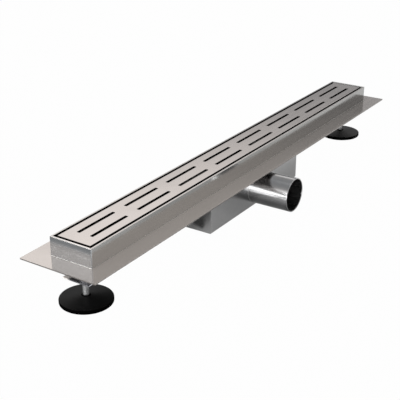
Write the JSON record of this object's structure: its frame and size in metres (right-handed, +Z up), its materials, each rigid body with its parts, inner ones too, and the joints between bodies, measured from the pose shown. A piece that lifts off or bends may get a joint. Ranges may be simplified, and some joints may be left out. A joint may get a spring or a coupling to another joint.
{
  "type": "linear shower drain",
  "caption": "Linear shower drain: long slotted cover flush in a folded steel channel with a sealing flange, a trap box with a removable siphon and side outlet, and adjustable feet.",
  "frame": {"origin": "middle of the finished floor plane, where the rim and the cover lie flush", "axes": "+X along the channel, +Z up out of the floor, the outlet points to -Y"},
  "size_m": [0.8014, 0.1509, 0.0875],
  "materials": {
    "cover_steel": "fine brushed",
    "channel_steel": "fine brushed",
    "trap_steel": "pickled matt",
    "pipe_steel": "polished",
    "weld_steel": "cleaned weld",
    "insert_steel": "fine brushed",
    "zinc_steel": "bright zinc",
    "seal_rubber": "matt",
    "foot_plastic": "satin black"
  },
  "bodies": {
    "root": {"channel_body": "channel_steel", "cup_pad_left": "seal_rubber", "cup_pad_right": "seal_rubber", "dip_tube": "insert_steel", "end_plate_left": "channel_steel", "end_plate_right": "channel_steel", "foot_bracket_left": "channel_steel", "foot_bracket_right": "channel_steel", "foot_disc_left": "foot_plastic", "foot_disc_right": "foot_plastic", "foot_rod_left": "zinc_steel", "foot_rod_right": "zinc_steel", "grate": "cover_steel", "grate_pad_1": "seal_rubber", "grate_pad_2": "seal_rubber", "grate_pad_3": "seal_rubber", "grate_pad_4": "seal_rubber", "grate_support_1": "channel_steel", "grate_support_2": "channel_steel", "grate_support_3": "channel_steel", "grate_support_4": "channel_steel", "hair_sieve": "insert_steel", "lock_nut_left": "zinc_steel", "lock_nut_right": "zinc_steel", "outlet_pipe": "pipe_steel", "sealing_flange": "channel_steel", "siphon_cup": "insert_steel", "siphon_handle_left": "insert_steel", "siphon_handle_right": "insert_steel", "siphon_plate": "insert_steel", "siphon_seal": "seal_rubber", "trap_box_end_left": "trap_steel", "trap_box_end_right": "trap_steel", "trap_box_shell": "trap_steel", "weld_nut_left": "zinc_steel", "weld_nut_right": "zinc_steel"}
  },
  "joints": []
}
